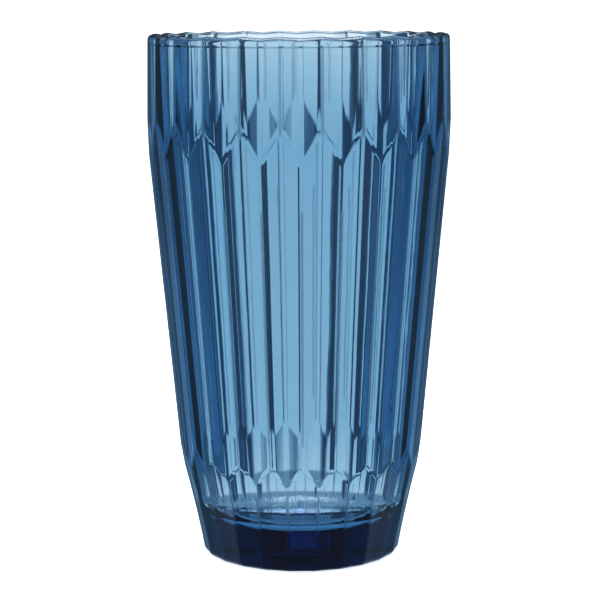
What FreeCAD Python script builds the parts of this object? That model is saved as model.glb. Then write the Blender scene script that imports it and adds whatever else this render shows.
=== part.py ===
"""Fluted pressed-glass vase: one piece of coloured glass, pressed in a mould.

Three bands of hollow panels stand above each other: a collar under the lip, the tall body and a
steeper base. Each band is a ring of sharp ridges with a shallow flute between every two, creased
along its middle. The body's ridges stand half a step round from those of the collar and the base.
The bands cut into each other, which makes the two zigzag lines. The cavity is smooth and round.

Origin: on the axis, in the plane that the vase stands on. +Z up, front towards -Y, millimetres.
"""
import FreeCAD, Part
import math
import os

# Overall sizes
height = 150.0              # foot plane to the crests of the lip
panels = 24                 # flutes round each band
lip_radius = 43.02          # collar ridges at the lip
foot_radius = 28.43         # base ridges at the foot plane

# Bands, by the radius of their ridges
collar_spread = 2.6         # the collar's lean: how much wider it would be, carried down to the foot plane
body_over_lip = 3.25        # how far the body's taper, carried up, would stand outside the lip
body_over_foot = 3.9        # how far the same taper, carried down, would stand outside the foot
base_slope = 0.186          # radius that the base gains per millimetre, at the foot plane
base_flare = 0.0014         # how fast that slope grows with height
collar_hollow = 0.0128      # depth of a flute below its ridges, as a share of the ridge radius
body_hollow = 0.0152
base_hollow = 0.012

# Glass thickness, measured from the ridges
lip_wall = 3.3
heel_wall = 2.7             # beside the floor
floor_thickness = 11.5

# Edges and small features
lip_rounding_share = 0.47   # outer rounding of the lip, as a share of its thinnest wall
mouth_rounding_share = 0.33 # inner rounding of the lip, likewise
scallop_depth = 0.4         # how far the lip dips between two ridges
foot_rounding = 1.6
floor_rounding = 7.0        # between cavity wall and floor
mould_line_drop = 3.0       # the fine step that the mould's lip ring leaves inside the mouth
mould_line_step = 0.12
recess_margin = 8.4         # from the foot's ridges in to the hollow under the foot
recess_depth = 1.2

step = 360.0 / panels
thinnest_lip = lip_wall - collar_hollow * lip_radius
lip_rounding = lip_rounding_share * thinnest_lip
mouth_rounding = mouth_rounding_share * thinnest_lip
overshoot = 5.0             # how far a cutter stands out of what it cuts
base_top = 0.3 * height     # where the flaring base is well outside the body
base_spans = 4              # outlines along the flare, less one


def collar_radius(z):
    return lip_radius + collar_spread * (1 - z / height)


def body_radius(z):
    low = foot_radius + body_over_foot
    high = lip_radius + body_over_lip
    return low + (high - low) * z / height


def base_radius(z):
    return foot_radius + base_slope * z + base_flare * z * z


def outer_radius(z):
    """Radius of the outermost ridges at a height, before any rounding."""
    return min(collar_radius(z), body_radius(z), base_radius(z))


def polar(radius, degrees, z):
    """The point at a radius and a bearing round the axis; bearing 0 is the front."""
    turn = math.radians(degrees)
    return FreeCAD.Vector(radius * math.sin(turn), -radius * math.cos(turn), z)


def fluted_outline(radius, hollow, z, first_ridge):
    """One band's closed outline at one height: from ridge to crease to ridge, all the way round."""
    corners = []
    for n in range(panels):
        ridge = first_ridge + n * step
        corners.append(polar(radius, ridge, z))
        corners.append(polar(radius * (1 - hollow), ridge + step / 2, z))
    return Part.makePolygon(corners + corners[:1])


def band(ridge_radius, hollow, first_ridge, levels, straight):
    """A fluted solid between the first and last level, with its ridges on ridge_radius(z)."""
    outlines = [fluted_outline(ridge_radius(z), hollow, z, first_ridge) for z in levels]
    return Part.makeLoft(outlines, True, straight)


def edges_at(shape, z):
    """The edges that lie in one level plane."""
    near = 0.001
    return [edge for edge in shape.Edges if all(abs(point.Z - z) < near for point in edge.Vertexes)]


def fluted_block():
    """The outside of the vase as a solid block: what the three bands have in common, edges rounded."""
    collar = band(collar_radius, collar_hollow, step / 2, (0, height), True)
    body = band(body_radius, body_hollow, 0, (0, height), True)
    base_levels = [base_top * n / base_spans for n in range(base_spans + 1)]
    base = band(base_radius, base_hollow, step / 2, base_levels, False)
    room_above = Part.makeCylinder(2 * lip_radius, height - base_top, FreeCAD.Vector(0, 0, base_top))
    block = body.common(collar).common(base.fuse(room_above)).Solids[0]
    block = block.makeFillet(lip_rounding, edges_at(block, height))
    return block.makeFillet(foot_rounding, edges_at(block, 0))


def cavity():
    """The space that the plunger leaves: a straight taper, a rounded heel, a flat floor and a mouth."""
    line_z = height - mould_line_drop
    depth = height - floor_thickness
    mouth = outer_radius(height) - lip_wall
    heel = outer_radius(floor_thickness) - heel_wall
    plug = Part.makeCone(heel, mouth, depth, FreeCAD.Vector(0, 0, floor_thickness))
    floor_edges = [edge for edge in edges_at(plug, floor_thickness) if edge.Length > heel]
    plug = plug.makeFillet(floor_rounding, floor_edges)
    line_radius = mouth + mould_line_step
    ring = Part.makeCylinder(line_radius, mould_line_drop + overshoot, FreeCAD.Vector(0, 0, line_z))
    return plug.fuse(ring).fuse(mouth_flare(line_radius))


def mouth_flare(mouth):
    """The cutter that rounds the lip's inner edge."""
    low = height - mouth_rounding
    centre = mouth + mouth_rounding
    slant = mouth_rounding * math.sqrt(0.5)
    curve = Part.Arc(
        FreeCAD.Vector(mouth, 0, low),
        FreeCAD.Vector(centre - slant, 0, low + slant),
        FreeCAD.Vector(centre, 0, height),
    ).toShape()
    above = height + overshoot
    corners = [(centre, height), (centre, above), (0, above), (0, low), (mouth, low)]
    points = [FreeCAD.Vector(x, 0, z) for x, z in corners]
    outline = Part.Wire([curve] + Part.makePolygon(points).Edges)
    return Part.Face(outline).revolve(FreeCAD.Vector(0, 0, 0), FreeCAD.Vector(0, 0, 1), 360)


def scallops():
    """Level cylinders across the mouth, each of which dips the lip at two opposite panels."""
    half_chord = lip_radius * math.sin(math.radians(step / 2))
    radius = (half_chord ** 2 + scallop_depth ** 2) / (2 * scallop_depth)
    reach = lip_radius + overshoot
    cutters = []
    for n in range(panels // 2):
        start = polar(reach, n * step, height - scallop_depth + radius)
        along = polar(-1, n * step, 0)
        cutters.append(Part.makeCylinder(radius, 2 * reach, start, along))
    return cutters


def foot_recess():
    """The shallow dome under the foot, which leaves a ring to stand on."""
    recess_radius = foot_radius - recess_margin
    radius = (recess_radius ** 2 + recess_depth ** 2) / (2 * recess_depth)
    return Part.makeSphere(radius, FreeCAD.Vector(0, 0, recess_depth - radius))


def vase_body():
    glass = fluted_block().cut(cavity())
    for cutter in scallops():
        glass = glass.cut(cutter)
    return glass.cut(foot_recess()).Solids[0]


def main():
    os.makedirs("parts", exist_ok=True)
    glass = vase_body()
    glass.exportStep("parts/vase_body.step")
    box = glass.BoundBox
    print(f"vase_body: valid {glass.isValid()}, {glass.Volume / 1000:.1f} ml of glass,"
          f" {box.XLength:.2f} x {box.YLength:.2f} x {box.ZLength:.2f} mm")


main()
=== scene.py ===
import math

import bmesh
import bpy
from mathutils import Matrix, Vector


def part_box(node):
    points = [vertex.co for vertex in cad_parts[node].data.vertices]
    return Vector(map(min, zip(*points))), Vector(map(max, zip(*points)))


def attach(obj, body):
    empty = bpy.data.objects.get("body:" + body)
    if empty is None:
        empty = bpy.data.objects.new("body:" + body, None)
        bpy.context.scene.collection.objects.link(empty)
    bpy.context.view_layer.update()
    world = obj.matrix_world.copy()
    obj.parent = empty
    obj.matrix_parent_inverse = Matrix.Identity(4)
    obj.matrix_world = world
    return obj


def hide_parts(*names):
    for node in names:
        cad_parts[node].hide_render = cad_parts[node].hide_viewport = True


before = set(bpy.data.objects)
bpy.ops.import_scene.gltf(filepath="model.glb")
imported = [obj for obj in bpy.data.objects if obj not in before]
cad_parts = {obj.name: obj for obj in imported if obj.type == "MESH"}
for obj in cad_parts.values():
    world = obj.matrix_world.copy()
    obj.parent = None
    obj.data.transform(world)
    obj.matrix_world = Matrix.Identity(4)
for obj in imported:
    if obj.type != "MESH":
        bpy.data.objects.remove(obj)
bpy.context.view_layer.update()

# The outside of the glass, from the edge of the foot to the edge of the lip.
# Pressed in a mould that cuts three bands of hollow flutes: collar, body and base. Where two bands
# meet they cut into each other in a zigzag. Every edge is soft from fire-polishing.
cad_low, cad_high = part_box("vase_body")
height = cad_high.z
panels = 24
lip_radius = 0.04302
foot_radius = 0.02843
collar_spread = 0.0026
body_over_lip = 0.00325
body_over_foot = 0.0039
base_slope = 0.186
base_flare = 1.4  # half the slope that the base gains per metre
collar_hollow = 0.0128  # depth of a flute's crease, as a share of its ridge radius
body_hollow = 0.0152
base_hollow = 0.012
lip_rounding = 0.0013
foot_rounding = 0.0016
edge_softness = 0.0008  # how far the melting reaches from each edge
softening_cuts = 4
least_edge_angle = math.radians(3)
cut_room = 0.01  # how far the collar's band runs past both ends of the vase
flare_step = 0.005
flare_spans = 10
weld = 0.00002
step = 2 * math.pi / panels


def collar_radius(z):
    return lip_radius + collar_spread * (1 - z / height)


def body_radius(z):
    low = foot_radius + body_over_foot
    high = lip_radius + body_over_lip
    return low + (high - low) * z / height


def base_radius(z):
    return foot_radius + base_slope * z + base_flare * z * z


def edit(piece):
    """Opens one piece in edit mode, with nothing selected."""
    bpy.ops.object.select_all(action="DESELECT")
    piece.select_set(True)
    bpy.context.view_layer.objects.active = piece
    bpy.ops.object.mode_set(mode="EDIT")
    bpy.ops.mesh.select_mode(type="VERT")
    bpy.ops.mesh.select_all(action="DESELECT")


def pick(wanted, kind="verts"):
    """In edit mode, selects the points, edges or faces that wanted() says yes to, and only them."""
    bpy.ops.mesh.select_all(action="DESELECT")
    bpy.ops.mesh.select_mode(type={"verts": "VERT", "edges": "EDGE", "faces": "FACE"}[kind])
    mesh = bpy.context.object.data
    shape = bmesh.from_edit_mesh(mesh)
    for part in getattr(shape, kind):
        part.select_set(wanted(part))
    bmesh.update_edit_mesh(mesh)


def widen(share, z):
    """Grows or shrinks the selection round the axis."""
    bpy.ops.transform.resize(value=(share, share, 1), center_override=(0, 0, z))


def fluted_band(name, ridge_radius, hollow, levels, turn):
    """A solid ring of flutes: a disc whose edge is drawn in between the ridges, then raised."""
    bpy.ops.object.select_all(action="DESELECT")
    bpy.ops.mesh.primitive_circle_add(
        vertices=2 * panels, radius=ridge_radius(levels[0]), fill_type="NGON",
        location=(0, 0, levels[0]), rotation=(0, 0, turn))
    band = bpy.context.object
    band.name = name
    bpy.ops.object.transform_apply()
    edit(band)
    pick(lambda point: point.index % 2 == 1)
    widen(1 - hollow, levels[0])
    bpy.ops.mesh.select_all(action="SELECT")
    for below, above in zip(levels, levels[1:]):
        bpy.ops.mesh.extrude_region_move(TRANSFORM_OT_translate={"value": (0, 0, above - below)})
        widen(ridge_radius(above) / ridge_radius(below), above)
    bpy.ops.mesh.select_all(action="SELECT")
    bpy.ops.mesh.normals_make_consistent(inside=False)
    bpy.ops.object.mode_set(mode="OBJECT")
    return band


def apply(piece, modifier):
    bpy.context.view_layer.objects.active = piece
    bpy.ops.object.modifier_apply(modifier=modifier.name)


def keep_common(piece, other):
    """Keeps what two solids have in common."""
    meet = piece.modifiers.new("meet", "BOOLEAN")
    meet.operation = "INTERSECT"
    meet.solver = "EXACT"
    meet.object = other
    apply(piece, meet)
    bpy.data.objects.remove(other)


base_lean = math.atan(base_slope)
wall_bottom = foot_rounding * (1 - math.sin(base_lean))
wall_top = height - lip_rounding
vase = fluted_band("vase_glass", body_radius, body_hollow, (wall_bottom, wall_top), 0)
collar_levels = (-cut_room, height + cut_room)
collar = fluted_band("collar_band", collar_radius, collar_hollow, collar_levels, step / 2)
flare_levels = [flare_step * n - flare_step for n in range(flare_spans + 1)] + [height + 2 * cut_room]
base = fluted_band("base_band", base_radius, base_hollow, flare_levels, step / 2)
keep_common(vase, collar)
keep_common(vase, base)

edit(vase)
pick(lambda face: abs(face.normal.z) > 0.9, "faces")
bpy.ops.mesh.delete(type="FACE")
bpy.ops.mesh.select_all(action="SELECT")
bpy.ops.mesh.remove_doubles(threshold=weld)
bpy.ops.object.mode_set(mode="OBJECT")
soften = vase.modifiers.new("soften", "BEVEL")
soften.width = edge_softness
soften.segments = softening_cuts
soften.limit_method = "ANGLE"
soften.angle_limit = least_edge_angle
soften.use_clamp_overlap = False
apply(vase, soften)

# The lip and the inside.
# The plunger of the press leaves a smooth round cavity, and its ring a fine step just inside the
# lip. The lip itself is melted round in the fire, and dips a little in the middle of each panel.
lip_wall = 0.0033
heel_wall = 0.0027
floor_thickness = 0.0115
mouth_rounding = 0.0009
floor_rounding = 0.007
scallop_depth = 0.0004
mould_line_drop = 0.003
mould_line_start = 0.0021  # how far below the lip the step in the wall begins
mould_line_step = 0.00012
mould_line_fall = 0.00006
wall_spans = 12
heel_spans = 8


def outline():
    """The points of the selected outline."""
    shape = bmesh.from_edit_mesh(bpy.context.object.data)
    return [point.co for point in shape.verts if point.select]


def extrude_to(radius, z, round_off=False):
    """Extrudes the selected outline, and brings it to a mean radius and a height."""
    bpy.ops.mesh.extrude_edges_move()
    points = outline()
    rise = z - sum(point.z for point in points) / len(points)
    mean = sum(math.hypot(point.x, point.y) for point in points) / len(points)
    bpy.ops.transform.translate(value=(0, 0, rise))
    widen(radius / mean, z)
    if round_off:
        bpy.ops.transform.resize(value=(1, 1, 0), center_override=(0, 0, z))
        bpy.ops.transform.tosphere(value=1)


mouth_radius = lip_radius - lip_wall
heel_radius = base_radius(floor_thickness) - heel_wall
taper = (mouth_radius - heel_radius) / (height - floor_thickness)


def cavity_radius(z):
    return mouth_radius - taper * (height - z)


edit(vase)
pick(lambda edge: edge.is_boundary and edge.verts[0].co.z > height / 2, "edges")
lip_edge = sum(math.hypot(point.x, point.y) for point in outline()) / len(outline())
for degrees in (22.5, 45, 67.5, 90):
    turn = math.radians(degrees)
    extrude_to(lip_edge - lip_rounding * (1 - math.cos(turn)), wall_top + lip_rounding * math.sin(turn))
extrude_to(mouth_radius + mouth_rounding, height, round_off=True)
for degrees in (30, 60, 90):
    turn = math.radians(degrees)
    extrude_to(mouth_radius + mouth_rounding * (1 - math.sin(turn)),
               height - mouth_rounding * (1 - math.cos(turn)))


def off_panel(point):
    """How far a point lies round from the middle of its panel: 0 there, 1 at a ridge."""
    turns = math.atan2(point.x, -point.y) / step
    return round(2 * abs(turns - round(turns)), 3)


lip_offsets = sorted({off_panel(point) for point in outline()})
for offset in lip_offsets:
    pick(lambda point: point.co.z > wall_top - weld / 2 and off_panel(point.co) == offset)
    bpy.ops.transform.translate(value=(0, 0, -scallop_depth * (1 - offset ** 2)))

pick(lambda edge: edge.is_boundary and edge.verts[0].co.z > height / 2, "edges")
line_z = height - mould_line_drop
extrude_to(mouth_radius + mould_line_step, height - mould_line_start, round_off=True)
extrude_to(mouth_radius + mould_line_step, line_z)
extrude_to(cavity_radius(line_z), line_z - mould_line_fall)
heel_lean = -math.atan(taper)
wall_foot = floor_thickness + floor_rounding * (1 + math.sin(heel_lean))
for n in range(1, wall_spans + 1):
    level = line_z + (wall_foot - line_z) * n / wall_spans
    extrude_to(cavity_radius(level), level)
heel_centre = cavity_radius(wall_foot) - floor_rounding * math.cos(heel_lean)
for n in range(1, heel_spans + 1):
    turn = heel_lean - (heel_lean + math.pi / 2) * n / heel_spans
    extrude_to(heel_centre + floor_rounding * math.cos(turn),
               floor_thickness + floor_rounding * (1 + math.sin(turn)))
for share in (0.8, 0.6, 0.4, 0.2):
    extrude_to(heel_centre * share, floor_thickness)
bpy.ops.mesh.extrude_edges_move()
bpy.ops.mesh.merge(type="CENTER")

# The foot.
# The glass stands on a flat ring, rounded where it turns up into the base, with a shallow round
# hollow inside it so that it can't rock.
recess_margin = 0.0084
recess_depth = 0.0012
recess_lip = 0.0003
foot_spans = 5

pick(lambda edge: edge.is_boundary, "edges")
foot_edge = sum(math.hypot(point.x, point.y) for point in outline()) / len(outline())
for n in range(1, foot_spans + 1):
    turn = base_lean + (math.pi / 2 - base_lean) * n / foot_spans
    extrude_to(foot_edge - foot_rounding * (math.cos(base_lean) - math.cos(turn)),
               foot_rounding * (1 - math.sin(turn)))
recess_radius = foot_radius - recess_margin
dome = (recess_radius ** 2 + recess_depth ** 2) / (2 * recess_depth)
extrude_to(recess_radius + recess_lip, 0, round_off=True)
extrude_to(recess_radius, 0)
for share in (0.97, 0.8, 0.6, 0.4, 0.2):
    reach = recess_radius * share
    extrude_to(reach, recess_depth - dome + math.sqrt(dome ** 2 - reach ** 2))
bpy.ops.mesh.extrude_edges_move()
bpy.ops.mesh.merge(type="CENTER")
bpy.ops.mesh.select_all(action="SELECT")
bpy.ops.mesh.normals_make_consistent(inside=False)
bpy.ops.object.mode_set(mode="OBJECT")
bpy.ops.object.shade_smooth()
weigh = vase.modifiers.new("weigh", "WEIGHTED_NORMAL")
weigh.keep_sharp = False
apply(vase, weigh)
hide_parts("vase_body")
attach(vase, "root")

# The blue of the glass.
# Blue glass, coloured all through, so that it is palest where the wall is thin and darkest in the
# solid base. The mould leaves its skin slightly wavy, and the ridges are a little worn by handling.
glass_bend = 1.52
glass_colour = (0.2, 0.563, 0.745, 1)
glass_depth = 200
polish = 0.004
smear_roughness = 0.02
ridge_roughness = 0.4
wave_height = 0.0002
wave_strength = 0.35
drawn_share = 0.22
ripple_share = 0.25
worn_half_width = 0.055  # share of a flute's width at which the wear on its ridge ends
worn_core = 0.02
worn_fade = 0.003
base_ridges = (0.5, 0.0006, 0.025)  # where the first ridge is, in flutes, and its low and high ends
body_ridges = (0, 0.036, 0.105)
collar_ridges = (0.5, 0.122, 0.149)
skin_start = 0.001  # how far out of the cavity the wear starts, so that the inside has none
skin_end = 0.0018


class Socket:
    """One output in a node tree, with sums and products as Python writes them."""

    def __init__(self, tree, output):
        self.tree = tree
        self.output = output

    def node(self, kind, settings=None, **values):
        """Adds a node, with its settings first and then its inputs, and gives its first output."""
        made = self.tree.nodes.new(kind)
        for name, value in (settings or {}).items():
            setattr(made, name, value)
        for name, value in values.items():
            spot = made.inputs[int(name[1:]) if name[1:].isdigit() else name.replace("_", " ")]
            if isinstance(value, Socket):
                self.tree.links.new(value.output, spot)
            else:
                spot.default_value = value
        return Socket(self.tree, made.outputs[0] if made.outputs else None)

    def maths(self, operation, first, second):
        return self.node("ShaderNodeMath", {"operation": operation}, _0=first, _1=second)

    def maths_one(self, operation):
        return self.node("ShaderNodeMath", {"operation": operation}, _0=self)

    def __add__(self, other):
        return self.maths("ADD", self, other)

    def __radd__(self, other):
        return self.maths("ADD", other, self)

    def __sub__(self, other):
        return self.maths("SUBTRACT", self, other)

    def __rsub__(self, other):
        return self.maths("SUBTRACT", other, self)

    def __mul__(self, other):
        return self.maths("MULTIPLY", self, other)

    def __rmul__(self, other):
        return self.maths("MULTIPLY", other, self)


glass = bpy.data.materials.new("blue_pressed_glass")
glass.use_nodes = True
glass.node_tree.nodes.clear()
start = Socket(glass.node_tree, None)
place = start.node("ShaderNodeTexCoord")
place.output = place.output.node.outputs["Object"]
drawn_out = place.node("ShaderNodeMapping", {}, Vector=place, Scale=(1, 1, drawn_share))
ripple = place.node("ShaderNodeTexNoise", {}, Vector=drawn_out, Scale=260, Detail=2, Roughness=0.45)
swell = place.node("ShaderNodeTexNoise", {}, Vector=place, Scale=45, Detail=1, Roughness=0.4)
relief = ripple * ripple_share + swell
skin = place.node("ShaderNodeBump", {}, Height=relief, Distance=wave_height, Strength=wave_strength)
smear = place.node("ShaderNodeTexNoise", {}, Vector=place, Scale=70, Detail=3, Roughness=0.6)
along_x = place.node("ShaderNodeSeparateXYZ", {}, Vector=place)
along_y = Socket(along_x.tree, along_x.output.node.outputs["Y"])
along_z = Socket(along_x.tree, along_x.output.node.outputs["Z"])
flutes_round = along_x.maths("ARCTAN2", along_y, along_x) * (1 / step)


def ramp(value, start, end):
    """0 where value is at start, 1 where it is at end, and smooth in between."""
    return value.node("ShaderNodeMapRange", {"interpolation_type": "SMOOTHSTEP"},
                      _0=value, _1=start, _2=end)


def worn_ridges(first, low, high):
    """1 along the ridges of one band, between its low and high ends, and 0 elsewhere."""
    off_ridge = ((flutes_round + 0.5 - first).maths_one("FRACT") - 0.5).maths_one("ABSOLUTE")
    ends = ramp(along_z, low, low + worn_fade) * ramp(along_z, high, high - worn_fade)
    return ramp(off_ridge, worn_half_width, worn_core) * ends


from_axis = (along_x * along_x + along_y * along_y).maths_one("SQRT")
cavity_foot = mouth_radius - taper * height
outside = ramp(from_axis - along_z * taper, cavity_foot + skin_start, cavity_foot + skin_end)
worn = outside * (worn_ridges(*base_ridges) + worn_ridges(*body_ridges) + worn_ridges(*collar_ridges))
surface = place.node(
    "ShaderNodeBsdfPrincipled", {}, Base_Color=(1, 1, 1, 1), IOR=glass_bend, Transmission_Weight=1,
    Roughness=polish + smear * smear_roughness + worn * ridge_roughness, Normal=skin)
depth = place.node("ShaderNodeVolumeAbsorption", {}, Color=glass_colour, Density=glass_depth)
result = glass.node_tree.nodes.new("ShaderNodeOutputMaterial")
glass.node_tree.links.new(surface.output, result.inputs["Surface"])
glass.node_tree.links.new(depth.output, result.inputs["Volume"])
vase.data.materials.clear()
vase.data.materials.append(glass)

# The studio.
# A wide white table, lit a little from below, with one large round lamp over it. The glass doesn't
# see the table, but the surround: a strip of white paper behind it, blue cards at both sides, dim
# paper low down and a dim wall behind the camera.
table_radius = 40
table_drop = 0.0002
table_white = (0.93, 0.93, 0.93, 1)
table_roughness = 0.9
table_glow = 0.75
lamp_height = 1.2
lamp_width = 0.9
lamp_watts = 17
strip_light = 1.1
strip_loss = 0.6  # light that the strip loses low down
low_paper_light = 0.6
gap_light = 0.13  # between the strip and the cards
card_light = 0.22
low_card_light = 0.2
wall_light = 0.25
wall_loss = 0.15
overhead_light = 0.25
card_blue = (0.28, 0.6, 1, 1)
wall_white_share = 0.6
bpy.ops.object.select_all(action="DESELECT")
bpy.ops.mesh.primitive_circle_add(
    vertices=128, radius=table_radius, fill_type="NGON", location=(0, 0, -table_drop))
table = bpy.context.object
table.name = "white_table"
table.visible_transmission = False
table.visible_glossy = False
paper = bpy.data.materials.new("white_paper")
paper.use_nodes = True
paper_look = paper.node_tree.nodes["Principled BSDF"].inputs
paper_look["Base Color"].default_value = table_white
paper_look["Roughness"].default_value = table_roughness
paper_look["Specular IOR Level"].default_value = 0
paper_look["Emission Color"].default_value = (1, 1, 1, 1)
paper_look["Emission Strength"].default_value = table_glow
table.data.materials.append(paper)

lamp_data = bpy.data.lights.new("round_lamp", "AREA")
lamp_data.shape = "DISK"
lamp_data.size = lamp_width
lamp_data.energy = lamp_watts
lamp = bpy.data.objects.new("round_lamp", lamp_data)
bpy.context.collection.objects.link(lamp)
lamp.location = (0, 0, lamp_height)

world = bpy.data.worlds.new("studio")
world.use_nodes = True
bpy.context.scene.world = world
room = Socket(world.node_tree, None)
look = room.node("ShaderNodeTexCoord")
look_x = look.node("ShaderNodeSeparateXYZ", {}, Vector=look)
look_y = Socket(look.tree, look_x.output.node.outputs["Y"])
look_z = Socket(look.tree, look_x.output.node.outputs["Z"])


def fade(value, start, end):
    """A ramp between two angles in degrees."""
    return ramp(value, math.radians(start), math.radians(end))


def larger(first, second):
    return first.maths("MAXIMUM", first, second)


turn_away = look_x.maths("ARCTAN2", look_x, look_y).maths_one("ABSOLUTE")
rise = look_z.maths_one("ARCSINE")
strip = fade(turn_away, 9, 4) * fade(rise, 4, -1) * (strip_light - fade(rise, -12, -17) * strip_loss)
low_paper = fade(rise, -25, -33) * fade(turn_away, 100, 60) * low_paper_light
white = larger(strip, low_paper)
low_cards = fade(rise, -9, -12) * fade(rise, -21, -16) * low_card_light
cards = gap_light + fade(turn_away, 12, 20) * (card_light + low_cards)
behind_camera = fade(turn_away, 100, 135)
wall = behind_camera * (fade(rise, -10, 12) * wall_light - wall_loss)
overhead = fade(rise, 14, 45)
plain = larger(white, larger(behind_camera * wall_white_share, overhead))
tint = room.node(
    "ShaderNodeMix", {"data_type": "RGBA"}, Factor=plain, _6=card_blue, _7=(1, 1, 1, 1))
light = white + cards + wall + overhead * overhead_light
background = world.node_tree.nodes["Background"]
world.node_tree.links.new(light.output, background.inputs["Strength"])
world.node_tree.links.new(tint.output.node.outputs[2], background.inputs["Color"])

# The camera.
# It stands a little above the lip and a little to the left, looks slightly down, and has a long
# lens, so that the sides of the vase stay almost straight.
aim = Vector((0, 0, 0.0733))
distance = 0.586
lens_length = 121.3
sensor_width = 36
light_passes = 32
elevation = math.radians(8.82)
aside = math.radians(0.85)
lean = math.radians(-0.311)
camera_data = bpy.data.cameras.new("camera")
camera = bpy.data.objects.new("camera", camera_data)
bpy.context.collection.objects.link(camera)
back = Vector((-math.sin(aside) * math.cos(elevation), -math.cos(aside) * math.cos(elevation),
               math.sin(elevation)))
camera.location = aim + back * distance
turned = back.to_track_quat("Z", "Y")
camera.rotation_euler = turned.to_euler()
camera.rotation_euler.rotate_axis("Z", lean)
camera_data.sensor_width = sensor_width
camera_data.lens = lens_length
camera_data.clip_start = 0.01
bpy.context.scene.camera = camera
bpy.context.scene.view_settings.view_transform = "Standard"
bpy.context.scene.cycles.max_bounces = light_passes
bpy.context.scene.cycles.transmission_bounces = light_passes
